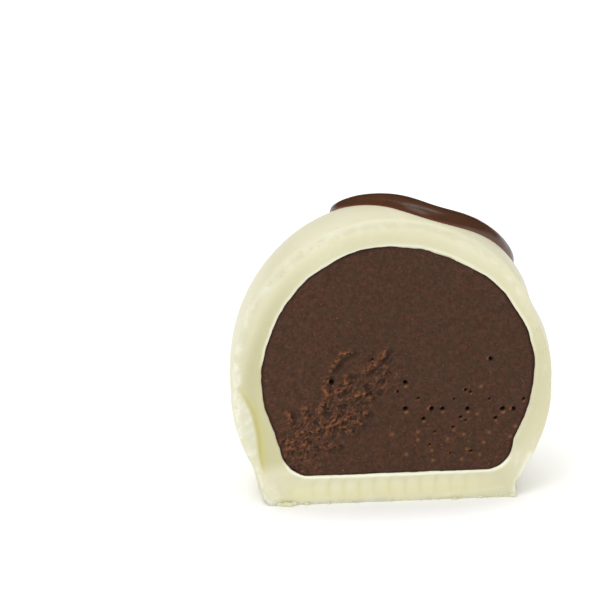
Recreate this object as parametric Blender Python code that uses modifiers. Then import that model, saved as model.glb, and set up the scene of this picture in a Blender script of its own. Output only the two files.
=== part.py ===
"""The larger half of a white chocolate praline: a thick white shell with a drizzled spiral of dark
chocolate on its dome, cut open to show the ganache that fills it.

The origin is on the dome's axis where it stands. X runs to the right along the cut, Y away from it
and Z up. Lengths here are in millimetres, and each mesh is scaled to metres when it is made.
"""

import math

import bmesh
import bpy
from mathutils import Vector, noise

MM = 0.001

# The dome
DOME_RADIUS = 15.0
DOME_HEIGHT = 28.0
DOME_POWER = 2.05
SHOULDER_HEIGHT = 12.0
WAIST_HEIGHT = 10.0
FOOT_RADIUS = 11.9
FOOT_HEIGHT = 1.5
FOOT_ROUNDING = 0.35

# The foot spreads where the chocolate ran out to the left, and its edge is crumbly
SPREAD = 0.8
SPREAD_HEIGHT = 1.3
SPREAD_FADE = 1.4
SPREAD_ANGLE = math.radians(40)
CRUMBLE = 0.14
CRUMBLE_SIZE = 1.6

# The right side, a little flat below its shoulder's top and a little full below that
SIDE_ANGLE = math.radians(45)
FLAT = 0.45
FLAT_HEIGHT = 18.3
FLAT_FADE = 1.8
FULL = 0.25
FULL_HEIGHT = 11.5
FULL_FADE = 3.5

# The cut
CUT_OFFSET = 3.0
RIM_ROUNDING = 0.7
RIM_SPREAD = 0.12
FACE_DISH = 0.3
FACE_CENTRE = 12.8
KNIFE_REACH = 25.0

# The frosty band low on the left of the cut face, and the valley inside it
BAND_TOP = 13.3
BAND_GROWTH = 3.6
BAND_FULL = 9.0
BAND_FALL = 6.0
BAND_WIDTH = 1.15
BAND_FOOT_WIDTH = 0.5
VALLEY_DEPTH = 0.4
VALLEY_FLOOR = 2.4
VALLEY_END = -7.5
STEP_WIDTH = 0.3

# The lump at the lower left corner of the cut face
LUMP_X = -10.9
LUMP_Z = 1.3
LUMP_RADIUS = 1.7
LUMP_RISE = 0.45

# The ganache, turned about its own axis
GANACHE_X = 0.55
GANACHE_RADIUS = 13.05
GANACHE_CENTRE = 12.5
GANACHE_BOTTOM = 2.75
GANACHE_CORNER = 2.9
GANACHE_FOOT_RADIUS = 11.5
GANACHE_ROUGHNESS = 0.16
GAP = 0.3

# The drizzle, as distances over the dome from its top to the right and to the back, with the bead's radius
DRIZZLE_ROUTE = (
    (0.2, 5.2, 1.0),
    (0.7, 7.2, 1.1),
    (-0.4, 8.8, 1.2),
    (-2.7, 8.7, 1.2),
    (-4.15, 6.9, 1.05),
    (-2.9, 4.5, 1.1),
    (0.2, 1.7, 1.25),
    (4.1, -1.1, 1.35),
    (7.9, 0.2, 1.3),
    (11.8, 3.3, 1.15),
    (14.0, 7.6, 1.0),
    (12.7, 12.8, 0.95),
    (7.4, 17.2, 0.9),
    (0.6, 19.4, 0.85),
    (-6.4, 19.4, 0.75),
    (-12.4, 16.6, 0.55),
)
BEAD_SINK = 0.3
BEAD_SPACING = 1.0
BEAD_END_ROUNDING = 1.2

# How finely the shapes are faceted
DOME_STEPS = 64
GANACHE_STEPS = 48
FACE_STEPS = 80
BEAD_RESOLUTION = 3


def clear_scene():
    for obj in list(bpy.data.objects):
        bpy.data.objects.remove(obj, do_unlink=True)


def smooth(t):
    """Rises from 0 to 1 as t does, level at both ends."""
    t = min(max(t, 0.0), 1.0)
    return t * t * (3.0 - 2.0 * t)


def chocolate(name, colour, roughness):
    material = bpy.data.materials.new(name)
    material.use_nodes = True
    shader = material.node_tree.nodes["Principled BSDF"]
    shader.inputs["Base Color"].default_value = (*colour, 1.0)
    shader.inputs["Roughness"].default_value = roughness
    shader.inputs["Metallic"].default_value = 0.0
    material.diffuse_color = (*colour, 1.0)
    return material


def new_object(name, mesh, collection, material=None):
    obj = bpy.data.objects.new(name, mesh)
    collection.objects.link(obj)
    if material:
        mesh.materials.append(material)
    return obj


def hide_as_tool(obj):
    obj.hide_render = True
    obj.display_type = "WIRE"


def finished_mesh(obj):
    """The object's mesh with its modifiers applied, and the object removed."""
    graph = bpy.context.evaluated_depsgraph_get()
    mesh = bpy.data.meshes.new_from_object(obj.evaluated_get(graph))
    bpy.data.objects.remove(obj, do_unlink=True)
    return mesh


def turned_mesh(name, profile, steps, collection):
    """Turns a profile of radius and height, given from top to bottom, about the Z axis."""
    outline = bpy.data.meshes.new(name)
    points = [(radius * MM, 0.0, height * MM) for radius, height in profile]
    edges = [(i, i + 1) for i in range(len(points) - 1)]
    outline.from_pydata(points, edges, [])
    obj = new_object(name + "_profile", outline, collection)
    screw = obj.modifiers.new("Turn", "SCREW")
    screw.axis = "Z"
    screw.steps = steps
    screw.render_steps = steps
    screw.use_merge_vertices = True
    screw.merge_threshold = 0.00002
    bpy.context.view_layer.update()
    return finished_mesh(obj)


def dome_point(angle, azimuth):
    """A point of the dome above its shoulder, by its angle from the top and its azimuth."""
    radius = DOME_RADIUS * math.sin(angle) ** (2.0 / DOME_POWER)
    height = (DOME_HEIGHT - SHOULDER_HEIGHT) * math.cos(angle) ** (2.0 / DOME_POWER)
    return Vector((radius * math.cos(azimuth), radius * math.sin(azimuth), SHOULDER_HEIGHT + height))


def dome_radius(height):
    """The dome's radius at a height above the base."""
    if height > SHOULDER_HEIGHT:
        t = (height - SHOULDER_HEIGHT) / (DOME_HEIGHT - SHOULDER_HEIGHT)
        return DOME_RADIUS * max(0.0, 1.0 - t**DOME_POWER) ** (1.0 / DOME_POWER)
    t = (WAIST_HEIGHT - max(height, FOOT_HEIGHT)) / (WAIST_HEIGHT - FOOT_HEIGHT)
    return DOME_RADIUS - (DOME_RADIUS - FOOT_RADIUS) * max(t, 0.0) ** 2


def dome_profile():
    top_steps = 16
    side_steps = 9
    corner_steps = 3
    profile = [(0.0, DOME_HEIGHT)]
    for i in range(1, top_steps + 1):
        point = dome_point(math.pi / 2 * i / top_steps, 0.0)
        profile.append((point.x, point.z))
    for i in range(side_steps + 1):
        height = WAIST_HEIGHT + (FOOT_HEIGHT - WAIST_HEIGHT) * i / side_steps
        profile.append((dome_radius(height), height))
    for i in range(corner_steps + 1):
        turn = math.pi / 2 * i / corner_steps
        radius = FOOT_RADIUS - FOOT_ROUNDING * (1.0 - math.cos(turn))
        profile.append((radius, FOOT_ROUNDING * (1.0 - math.sin(turn))))
    profile.append((FOOT_RADIUS / 2, 0.0))
    profile.append((0.0, 0.0))
    return profile


def unevenness(azimuth, height):
    """How far the dome stands out from its turned form, at its foot and on its right side."""
    away = math.remainder(azimuth - math.pi, 2 * math.pi)
    side = math.exp(-((away / SPREAD_ANGLE) ** 2))
    low = math.exp(-(((height - SPREAD_HEIGHT) / SPREAD_FADE) ** 2))
    rough = noise.noise(Vector((math.cos(azimuth), math.sin(azimuth), 0.0)) * FOOT_RADIUS / CRUMBLE_SIZE)
    foot = SPREAD * side * low + CRUMBLE * rough * smooth((2.5 - height) / 2.5)
    right = math.exp(-((math.remainder(azimuth, 2 * math.pi) / SIDE_ANGLE) ** 2))
    full = FULL * math.exp(-(((height - FULL_HEIGHT) / FULL_FADE) ** 2))
    flat = FLAT * math.exp(-(((height - FLAT_HEIGHT) / FLAT_FADE) ** 2))
    return foot + right * (full - flat)


def make_dome_mesh(collection):
    mesh = turned_mesh("dome", dome_profile(), DOME_STEPS, collection)
    for vertex in mesh.vertices:
        radius = math.hypot(vertex.co.x, vertex.co.y) / MM
        if radius > FOOT_RADIUS / 2 + 1.0:
            spread = unevenness(math.atan2(vertex.co.y, vertex.co.x), vertex.co.z / MM)
            vertex.co.x *= 1.0 + spread / radius
            vertex.co.y *= 1.0 + spread / radius
    return mesh


def inside_dome(x, z):
    """Whether a point of the plane of the cut lies inside the dome."""
    radius = dome_radius(z) + unevenness(math.atan2(-CUT_OFFSET, x), z)
    return z > 0.0 and math.hypot(x, CUT_OFFSET) < radius


def cut_outline(turn):
    """How far the outline of the cut face lies from the face's centre, at an angle round it."""
    near = 0.0
    far = KNIFE_REACH
    while far - near > 0.001:
        middle = (near + far) / 2
        inside = inside_dome(middle * math.cos(turn), FACE_CENTRE + middle * math.sin(turn))
        near, far = (middle, far) if inside else (near, middle)
    return near


def band_width(z):
    wide = BAND_WIDTH * smooth((BAND_TOP - z) / BAND_GROWTH)
    return wide + (BAND_FOOT_WIDTH - BAND_WIDTH) * smooth((BAND_FULL - z) / BAND_FALL)


def shell_relief(x, z, inset):
    """How far the shell's cut face lies behind the plane of the cut, inset being the way in from its outline."""
    out = min(max(RIM_ROUNDING - RIM_SPREAD - inset, 0.0), RIM_ROUNDING)
    rounding = RIM_ROUNDING - math.sqrt(RIM_ROUNDING**2 - out**2)
    dish = FACE_DISH * smooth((inset - RIM_ROUNDING) / 1.5)
    valley = 0.0
    if x < VALLEY_END and z < BAND_TOP:
        behind_band = inset - band_width(z)
        floor = smooth(behind_band / STEP_WIDTH) * (1.0 - 0.7 * smooth(behind_band / VALLEY_FLOOR))
        ends = smooth((BAND_TOP - z) / 5.0) * smooth((z - 2.8) / 2.0) * smooth((VALLEY_END - x) / 2.5)
        valley = VALLEY_DEPTH * floor * ends
    lump_away = math.hypot(x - LUMP_X, z - LUMP_Z) / LUMP_RADIUS
    lump = LUMP_RISE * (1.0 - smooth(lump_away))
    return rounding + dish + valley - lump


def make_shell_knife(collection):
    """A block in front of the cut, whose back has the cut face's relief on rings that follow the outline."""
    insets = (-2.5, -RIM_SPREAD, -0.1, -0.05, 0.05, 0.2, 0.4, 0.7, 1.1, 1.45, 1.75, 2.1, 2.6, 3.4, 6.0)
    outline = [cut_outline(2 * math.pi * i / FACE_STEPS) for i in range(FACE_STEPS)]
    knife = bmesh.new()
    bmesh.ops.create_grid(knife, x_segments=FACE_STEPS, y_segments=len(insets), size=1.0)
    for vertex in knife.verts:
        column = round((vertex.co.x + 1.0) / 2.0 * FACE_STEPS) % FACE_STEPS
        row = round((vertex.co.y + 1.0) / 2.0 * len(insets))
        turn = 2 * math.pi * column / FACE_STEPS
        inset = insets[row] if row < len(insets) else outline[column]
        away = outline[column] - inset
        x = away * math.cos(turn)
        z = FACE_CENTRE + away * math.sin(turn)
        y = -CUT_OFFSET + shell_relief(x, z, inset)
        vertex.co = Vector((x, y, z)) * MM
    return knife_object("shell_knife", knife, collection)


def ganache_relief(x, z):
    """How far the ganache's cut face lies behind the plane of the cut: roughest low on the left."""
    rough = noise.noise(Vector((x, 0.0, z)) * 0.9) + 0.5 * noise.noise(Vector((x, 3.0, z)) * 2.1)
    torn = smooth((4.0 - x) / 8.0) * smooth((18.0 - z) / 8.0)
    return 0.2 + GANACHE_ROUGHNESS * rough * (0.3 + 0.7 * torn)


def make_ganache_knife(collection):
    """A block in front of the cut, whose back has the relief of the ganache's face."""
    cells = 30
    half_side = DOME_RADIUS
    knife = bmesh.new()
    bmesh.ops.create_grid(knife, x_segments=cells, y_segments=cells, size=half_side)
    for vertex in knife.verts:
        x = vertex.co.x
        z = FACE_CENTRE + vertex.co.y
        vertex.co = Vector((x, -CUT_OFFSET + ganache_relief(x, z), z)) * MM
    return knife_object("ganache_knife", knife, collection)


def knife_object(name, sheet, collection):
    """Closes a sheet into a block that reaches forward of the cut."""
    bmesh.ops.remove_doubles(sheet, verts=sheet.verts, dist=0.001 * MM)
    grown = bmesh.ops.extrude_face_region(sheet, geom=sheet.faces[:])
    for element in grown["geom"]:
        if isinstance(element, bmesh.types.BMVert):
            element.co.y = -(CUT_OFFSET + KNIFE_REACH) * MM
    bmesh.ops.recalc_face_normals(sheet, faces=sheet.faces)
    mesh = bpy.data.meshes.new(name)
    sheet.to_mesh(mesh)
    sheet.free()
    obj = new_object(name, mesh, collection)
    hide_as_tool(obj)
    return obj


def ganache_profile(grow):
    """The ganache's outline, grown all round by a given amount."""
    dome_steps = 15
    corner_steps = 4
    radius = GANACHE_RADIUS + grow
    corner = GANACHE_CORNER + grow
    corner_x = GANACHE_FOOT_RADIUS - GANACHE_CORNER
    corner_z = GANACHE_BOTTOM + GANACHE_CORNER
    side_height = 7.5
    last = math.acos((side_height - GANACHE_CENTRE) / GANACHE_RADIUS)
    profile = [(0.0, GANACHE_CENTRE + radius)]
    for i in range(1, dome_steps + 1):
        turn = last * i / dome_steps
        profile.append((radius * math.sin(turn), GANACHE_CENTRE + radius * math.cos(turn)))
    for i in range(corner_steps + 1):
        turn = math.pi / 2 * i / corner_steps
        profile.append((corner_x + corner * math.cos(turn), corner_z - corner * math.sin(turn)))
    profile.append((corner_x / 2, GANACHE_BOTTOM - grow))
    profile.append((0.0, GANACHE_BOTTOM - grow))
    return profile


def make_ganache_mesh(name, grow, collection):
    mesh = turned_mesh(name, ganache_profile(grow), GANACHE_STEPS, collection)
    for vertex in mesh.vertices:
        vertex.co.x += GANACHE_X * MM
    return mesh


def smooth_route(stations, spacing):
    """Points at an even spacing on a smooth curve through the stations."""
    ends = [stations[0], *stations, stations[-1]]
    route = []
    for a, b, c, d in zip(ends, ends[1:], ends[2:], ends[3:]):
        a, b, c, d = (Vector(p) for p in (a, b, c, d))
        count = max(2, round((c - b).length / spacing))
        for i in range(count):
            t = i / count
            route.append(
                0.5 * (2 * b + (c - a) * t + (2 * a - 5 * b + 4 * c - d) * t**2 + (3 * b - 3 * c + d - a) * t**3)
            )
    route.append(Vector(stations[-1]))
    return route


def bead_point(u, v):
    """The middle of the drizzle's bead, a little below the dome's surface."""
    angle = math.hypot(u, v) / DOME_RADIUS
    point = dome_point(angle, math.atan2(v, u))
    outward = (point - Vector((0.0, 0.0, SHOULDER_HEIGHT))).normalized()
    return point + outward * (unevenness(math.atan2(v, u), point.z) - BEAD_SINK)


def make_drizzle(collection, material):
    """A bead that rides over the dome along the route, with rounded ends."""
    route = smooth_route(DRIZZLE_ROUTE, BEAD_SPACING)
    curve = bpy.data.curves.new("drizzle_route", "CURVE")
    curve.dimensions = "3D"
    curve.bevel_depth = MM
    curve.bevel_resolution = BEAD_RESOLUTION
    curve.use_fill_caps = True
    spline = curve.splines.new("POLY")
    spline.points.add(len(route) - 1)
    travelled = [0.0]
    for before, after in zip(route, route[1:]):
        travelled.append(travelled[-1] + (after - before).length)
    for i, (u, v, radius) in enumerate(route):
        from_end = min(travelled[i], travelled[-1] - travelled[i])
        short = 1.0 - min(from_end / BEAD_END_ROUNDING, 1.0)
        spline.points[i].co = (*(bead_point(u, v) * MM), 1.0)
        spline.points[i].radius = radius * max(0.45, math.sqrt(1.0 - short**2))
    obj = bpy.data.objects.new("drizzle_route", curve)
    collection.objects.link(obj)
    bpy.context.view_layer.update()
    mesh = finished_mesh(obj)
    mesh.name = "drizzle_bead"
    bead = bmesh.new()
    bead.from_mesh(mesh)
    bmesh.ops.remove_doubles(bead, verts=bead.verts, dist=0.001 * MM)
    bmesh.ops.recalc_face_normals(bead, faces=bead.faces)
    bead.to_mesh(mesh)
    bead.free()
    mesh.materials.clear()
    obj = new_object("drizzle_bead", mesh, collection, material)
    hide_as_tool(obj)
    return obj


def add_boolean(obj, name, operation, other):
    boolean = obj.modifiers.new(name, "BOOLEAN")
    boolean.operation = operation
    boolean.solver = "EXACT"
    boolean.material_mode = "TRANSFER"
    boolean.object = other


def shade(obj):
    obj.data.shade_smooth()
    obj.data.set_sharp_from_angle(angle=math.radians(40))


def make_shell(parts, tools, white, dark):
    """The white shell with its base, opened by the ganache's hollow and the cut, and the drizzle fused on."""
    shell = new_object("white_shell", make_dome_mesh(tools), parts, white)
    hollow = new_object("ganache_hollow", make_ganache_mesh("ganache_hollow", GAP, tools), tools)
    hide_as_tool(hollow)
    add_boolean(shell, "Drizzle", "UNION", make_drizzle(tools, dark))
    add_boolean(shell, "Hollow", "DIFFERENCE", hollow)
    add_boolean(shell, "Cut", "DIFFERENCE", make_shell_knife(tools))
    shade(shell)


def make_ganache(parts, tools, brown):
    """The filling, which runs through the shell to the cut."""
    ganache = new_object("ganache", make_ganache_mesh("ganache", 0.0, tools), parts, brown)
    add_boolean(ganache, "Cut", "DIFFERENCE", make_ganache_knife(tools))
    shade(ganache)


def main():
    clear_scene()
    parts = bpy.data.collections.new("chocolate_praline")
    tools = bpy.data.collections.new("cutters")
    bpy.context.scene.collection.children.link(parts)
    bpy.context.scene.collection.children.link(tools)
    white = chocolate("white_chocolate", (0.79, 0.74, 0.56), 0.45)
    dark = chocolate("dark_chocolate", (0.045, 0.016, 0.011), 0.3)
    brown = chocolate("ganache_filling", (0.078, 0.04, 0.025), 0.8)
    make_shell(parts, tools, white, dark)
    make_ganache(parts, tools, brown)


main()
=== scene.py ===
"""The looks of the cut half of a white chocolate praline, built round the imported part.

Shapes are worked out in millimetres and scaled to metres when a mesh is made. The origin is on the
dome's axis where it stands, X runs right along the cut, Y away from it and Z up.
"""

import math
import random

import bmesh
import bpy
import numpy as np
from mathutils import Matrix, Vector, noise


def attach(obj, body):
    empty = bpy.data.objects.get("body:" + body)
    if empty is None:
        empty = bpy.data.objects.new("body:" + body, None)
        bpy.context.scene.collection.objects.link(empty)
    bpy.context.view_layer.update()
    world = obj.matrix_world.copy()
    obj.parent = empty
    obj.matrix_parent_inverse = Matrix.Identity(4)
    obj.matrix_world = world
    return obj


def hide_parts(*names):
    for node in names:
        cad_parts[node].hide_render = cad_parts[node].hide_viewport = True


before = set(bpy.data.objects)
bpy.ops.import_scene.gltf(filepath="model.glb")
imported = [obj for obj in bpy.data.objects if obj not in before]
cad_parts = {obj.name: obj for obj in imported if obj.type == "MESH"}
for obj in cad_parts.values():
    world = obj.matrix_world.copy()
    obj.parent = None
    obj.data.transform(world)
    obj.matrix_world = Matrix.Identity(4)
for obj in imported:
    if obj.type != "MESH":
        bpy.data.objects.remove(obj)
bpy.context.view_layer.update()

MM = 0.001

# The dome
DOME_RADIUS = 15.0
DOME_HEIGHT = 28.0
DOME_POWER = 2.05
SHOULDER_HEIGHT = 12.0
WAIST_HEIGHT = 10.0
FOOT_RADIUS = 11.9
FOOT_HEIGHT = 1.5
FOOT_ROUNDING = 0.35

# The foot spreads where the chocolate ran out to the left, and its edge is crumbly
SPREAD = 0.8
SPREAD_HEIGHT = 1.3
SPREAD_FADE = 1.4
SPREAD_ANGLE = math.radians(40)
CRUMBLE = 0.14
CRUMBLE_SIZE = 1.6

# The right side, a little flat below its shoulder's top and a little full below that
SIDE_ANGLE = math.radians(45)
FLAT = 0.45
FLAT_HEIGHT = 18.3
FLAT_FADE = 1.8
FULL = 0.25
FULL_HEIGHT = 11.5
FULL_FADE = 3.5

# The cut
CUT_OFFSET = 3.0
RIM_ROUNDING = 0.7
RIM_SPREAD = 0.12
FACE_DISH = 0.2
FACE_CENTRE = 12.8
LIP_HEIGHT = 0.06
LIP_PLACE = 0.34
LIP_WIDTH = 0.3
GROOVE_DEPTH = 0.08
GROOVE_WIDTH = 0.16
KNIFE_REACH = 25.0
HALVINGS = 20

# The frosty band low on the left of the cut face, and the valley inside it
BAND_TOP = 13.3
BAND_GROWTH = 4.6
BAND_FULL = 8.0
BAND_FALL = 5.0
BAND_WIDTH = 1.65
BAND_FOOT_WIDTH = 0.5
VALLEY_DEPTH = 0.28
VALLEY_FLOOR = 2.4
VALLEY_END = -7.5
STEP_WIDTH = 0.3

# The lump at the lower left corner of the cut face, and the tab at its lower right
LUMP_X = -10.9
LUMP_Z = 1.3
LUMP_RADIUS = 1.7
LUMP_RISE = 0.45
TAB_X = 11.7
TAB_TOP = 5.0
TAB_WIDTH = 0.9
TAB_RISE = 0.12
TAB_STREAK = ((12.95, 4.2), (12.4, 3.1), (11.75, 1.6), (11.5, 0.2))
STREAK_WIDTH = 0.26
KNIFE_LINE = ((4.7, 0.5), (10.4, 1.0))
KNIFE_LINE_WIDTH = 0.09
FAINT = 0.3

# Windows round the cut face, in degrees anticlockwise from its right: start, rise, end and fall
LEFT_SIDE = (125.0, 35.0, 205.0, 15.0)
UPPER_SIDE = (20.0, 50.0, 215.0, 20.0)
UPPER_LEFT = (85.0, 25.0, 212.0, 20.0)
SHADED_SIDE = (110.0, 60.0, 225.0, 15.0)
LOW_LEFT = (168.0, 10.0, 225.0, 10.0)

# Where the rim is whitish, partly frost and partly painted highlight: its place in from the outline, and the
# spots at the far left and upper right
RIM_PLACE = 0.5
RIM_WIDTH = 0.36
RIM_SHIFT_LEFT = 0.4
FAR_LEFT = 183.0
UPPER_RIGHT = 38.0

# The knife's chatter along the base
CHATTER_STEP = 1.44
CHATTER_LEFT = -7.6
CHATTER_RIGHT = 9.3
CHATTER_DEPTH = 0.055
CHATTER_TOP = 2.8
CHATTER_BOW = 0.75
CHATTER_RIDGE = 0.16
CHATTER_ACROSS = (CHATTER_LEFT, 0.4, CHATTER_RIGHT, 1.0)
CHATTER_UPRIGHT = (0.3, 0.9, CHATTER_TOP, 0.6)
ARC_BOW = 1.4
ARC_WIDTH = 0.2
ARC_ACROSS = (CHATTER_LEFT - 0.3, 0.3, CHATTER_RIGHT, 2.0)
ARC_UPRIGHT = (0.3, 0.7, CHATTER_TOP - 0.2, 0.5)

# The ganache, turned about its own axis
GANACHE_X = 0.55
GANACHE_RADIUS = 13.05
GANACHE_CENTRE = 12.5
GANACHE_BOTTOM = 2.75
GANACHE_CORNER = 2.9
GANACHE_FOOT_RADIUS = 11.5
GANACHE_SUNK = 0.22
GANACHE_GROWTH = 0.03

# Where the filling's outline bulges and flattens: angle round the cut, width and depth
GANACHE_DENTS = (
    (72.0, 16.0, -0.28), (106.0, 9.0, 0.16), (158.0, 20.0, -0.2), (12.0, 16.0, 0.2),
    (-158.0, 14.0, -0.14), (60.0, 9.0, -0.2), (-34.0, 8.0, -0.35),
)

# Pits in the filling's face: right of the axis, height and radius
PITS = (
    (-5.58, 12.07, 0.3), (-1.72, 14.2, 0.16), (1.32, 11.79, 0.27), (0.56, 10.92, 0.16),
    (1.28, 9.19, 0.27), (2.96, 8.12, 0.22), (3.72, 9.09, 0.27), (4.75, 9.05, 0.24),
    (6.43, 8.17, 0.15), (6.93, 10.86, 0.16), (7.1, 8.95, 0.25), (9.17, 9.86, 0.12),
    (9.3, 13.84, 0.24), (9.72, 7.93, 0.2), (10.39, 8.81, 0.27), (11.42, 8.77, 0.25),
    (12.35, 9.72, 0.16), (2.5, 10.2, 0.13), (5.8, 10.0, 0.13), (7.4, 10.6, 0.14),
    (6.9, 7.8, 0.13), (5.7, 7.2, 0.14), (4.0, 6.8, 0.12), (3.5, 5.5, 0.13),
    (5.4, 4.6, 0.12), (7.4, 4.7, 0.13),
)
PIT_DEPTH = 0.55
PIT_EDGE = 0.08

# The torn zone of the filling's face runs from its lower left corner to its middle
TORN_START = (-10.2, 4.4)
TORN_END = (0.4, 14.2)
TORN_HALF_WIDTH = 3.1

# Tears that stand up in the torn zone, as points to the right of the axis and up
TEARS = (
    ((-9.9, 5.9), (-8.4, 7.2), (-7.2, 7.3), (-5.9, 7.7), (-5.0, 8.2), (-4.1, 8.5), (-3.0, 7.8)),
    ((-9.7, 9.1), (-9.6, 8.3)), ((-8.2, 9.5), (-8.2, 8.6)), ((-6.5, 10.0), (-6.7, 9.2)),
    ((-6.0, 12.5), (-6.3, 11.9), (-6.0, 10.7)), ((-5.1, 11.1), (-4.2, 11.5), (-4.3, 12.6)),
    ((-5.6, 13.3), (-5.1, 14.2), (-4.6, 14.8), (-3.8, 15.0)),
    ((-2.5, 13.0), (-1.4, 13.6), (-0.9, 14.4), (-0.5, 15.1)),
    ((-3.6, 10.5), (-2.6, 10.8), (-2.0, 10.3)), ((-3.3, 9.1), (-2.5, 8.8)), ((-5.5, 8.3), (-5.2, 9.2)),
    ((-8.5, 7.1), (-8.3, 6.1)), ((-4.8, 7.5), (-3.6, 7.0)), ((-9.9, 5.9), (-9.0, 5.3)),
    ((-6.2, 5.5), (-5.3, 5.7)),
)
TEAR_WIDTH = 0.26
TEAR_SHIFT = 0.16
TEAR_RISE = 0.15
TEAR_HOLLOW = 0.24
STREAK_LEAN = math.radians(50)

# The drizzle, as distances over the dome from its top to the right and to the back, with its half width
DRIZZLE_ROUTE = (
    (0.2, 5.2, 1.0), (0.7, 7.2, 1.1), (-0.4, 8.8, 1.2), (-2.7, 8.7, 1.2),
    (-4.15, 6.9, 1.05), (-2.9, 4.5, 1.1), (0.2, 1.9, 1.25), (4.1, -0.55, 1.35),
    (7.9, 0.5, 1.3), (11.8, 3.3, 1.15), (14.0, 7.6, 1.0), (12.7, 12.8, 0.95),
    (7.4, 17.2, 0.9), (0.6, 19.4, 0.85), (-6.4, 19.4, 0.75), (-12.4, 16.6, 0.55),
)
DRIZZLE_HEIGHT = 0.93
DRIZZLE_SPACING = 0.2
DRIZZLE_SECTION = 28
DRIZZLE_UNDERSIDE = 8
DRIZZLE_END_ROUNDING = 1.2

# The flecks' and the crumbs' numbers, and the step of the filling's relief
GRAIN_STEP = 0.1
FLECK_TRIES = 16000
CRUMBS = 110
BIT_CORNERS = ((1, 0, 0), (-1, 0, 0), (0, 1, 0), (0, -1, 0), (0, 0, 1), (0, 0, -1))
BIT_SIDES = ((0, 2, 4), (2, 1, 4), (1, 3, 4), (3, 0, 4), (2, 0, 5), (1, 2, 5), (3, 1, 5), (0, 3, 5))

# Larger flecks low on the filling's face
BRIGHT_FLECKS = (
    (2.4, 6.0), (5.2, 6.0), (8.6, 5.5), (3.8, 3.9), (6.5, 3.9), (1.3, 4.6),
    (0.0, 6.7), (2.4, 6.8), (5.8, 6.9), (7.0, 4.9), (8.2, 4.3), (6.7, 6.4),
    (8.0, 8.4), (8.4, 11.1), (3.7, 4.9), (9.1, 6.5), (11.6, 7.0), (11.1, 6.0),
)
FLECK_REACH = 0.15

# The largest crumbs in front of the cut's foot: right of the axis, out from the cut and size
BIG_CRUMBS = (
    (-10.7, 0.0, 0.3), (-10.2, 0.2, 0.36), (-9.8, 0.35, 0.3), (-9.4, 0.05, 0.3), (-8.2, 0.1, 0.22),
    (-4.1, 0.0, 0.18), (5.8, 0.1, 0.2), (8.2, 0.05, 0.18), (11.3, 0.0, 0.3),
)

# Colours as they show on screen, from 0 to 255
WHITE_OUTSIDE = (212, 208, 181)
WHITE_CLOUD = (208, 204, 176)
WHITE_CUT = (221, 218, 188)
WHITE_CUT_CLOUD = (218, 214, 182)
WHITE_BASE = (224, 219, 180)
# Painted shade, darker on the cut's right side
WHITE_RIGHT_SHADE = (207, 203, 170)
# Painted shade, darker toward the filling
WHITE_INNER_SHADE = (196, 191, 152)
# Painted shade in the recessed valley
WHITE_VALLEY_SHADE = (200, 195, 155)
# Painted shade, olive, along the step into the valley
WHITE_OLIVE_SHADE = (205, 198, 127)
WHITE_FROST = (214, 212, 186)
# Painted highlight on the lip beside the filling
WHITE_LIP_HIGHLIGHT = (251, 250, 221)
# Whitish frost specks and, along the rim, frost with painted highlight
WHITE_PATCH_AND_HIGHLIGHT = (235, 234, 222)
# Painted shade on the rounded rim, where the cut turns into the outside
WHITE_TURNED_SHADE = (207, 205, 179)
# Whitish marks, with painted highlights in the scallops and on the rim
WHITE_SPOT_AND_HIGHLIGHT = (229, 228, 211)
WHITE_ARC = (203, 197, 155)
WHITE_CRUMB = (216, 212, 174)
WHITE_CRUMB_LIGHT = (223, 220, 188)
DARK = (72, 44, 27)
DARK_CLOUD = (77, 47, 29)
DARK_EDGE = (112, 52, 24)
GANACHE = (75, 50, 36)
GANACHE_DEEP = (63, 41, 29)
GANACHE_RED = (88, 54, 42)
GANACHE_GREY = (62, 48, 33)
# Painted shade in the hollows beside the tears, also used for dark specks over the torn zone
GANACHE_HOLLOW_SHADE = (38, 31, 25)
GANACHE_CREST = (148, 92, 58)
# Painted shade along the filling's border, in the groove beside the shell
GANACHE_BORDER_SHADE = (54, 28, 21)
GANACHE_TAN = (148, 99, 59)
GANACHE_BLOT = (94, 60, 45)
# Painted shade in the pits
GANACHE_PIT_SHADE = (22, 14, 10)
FLECK = (127, 79, 50)
FLECK_DARK = (100, 60, 38)

# What is painted over the white cut, from the first to the last: mask, strength and colour. Painted shade
# darkens the right side, the turned rim, the cut toward the filling, the valley and its olive line; the lip
# has a painted highlight, and the spots are partly painted highlight.
CUT_LAYERS = (
    ("base", 1.0, WHITE_BASE),
    ("right", 1.0, WHITE_RIGHT_SHADE),
    ("turned", 1.0, WHITE_TURNED_SHADE),
    ("shade", 1.0, WHITE_INNER_SHADE),
    ("arcs", 0.22, WHITE_ARC),
    ("valley", 1.0, WHITE_VALLEY_SHADE),
    ("olive", 0.8, WHITE_OLIVE_SHADE),
    ("frost", 1.0, WHITE_FROST),
    ("lip", 1.0, WHITE_LIP_HIGHLIGHT),
    ("spots", 1.0, WHITE_SPOT_AND_HIGHLIGHT),
)

FLOOR_GREY = 0.95
FLOOR_SIZE = 4.0

WORLD_STRENGTH = 0.95
KEY_POWER = 0.85
STRIP_POWER = 1.0

# The camera, from the photograph
CAMERA_AZIMUTH = math.radians(-3.36)
CAMERA_ELEVATION = math.radians(20.0)
CAMERA_DISTANCE = 350.0
CAMERA_ROLL = math.radians(-1.04)
CAMERA_LENS = 223.8
FRAME_PIXELS = 600
AIM_HEIGHT = 14.0
AIM_PIXEL = (388.9, 350.7)


def smooth(t):
    """Rises from 0 to 1 as t does, level at both ends."""
    t = np.clip(t, 0.0, 1.0)
    return t * t * (3.0 - 2.0 * t)


def bell(away, width):
    """One where away is 0, falling off on both sides over a width."""
    return np.exp(-((away / width) ** 2))


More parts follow.
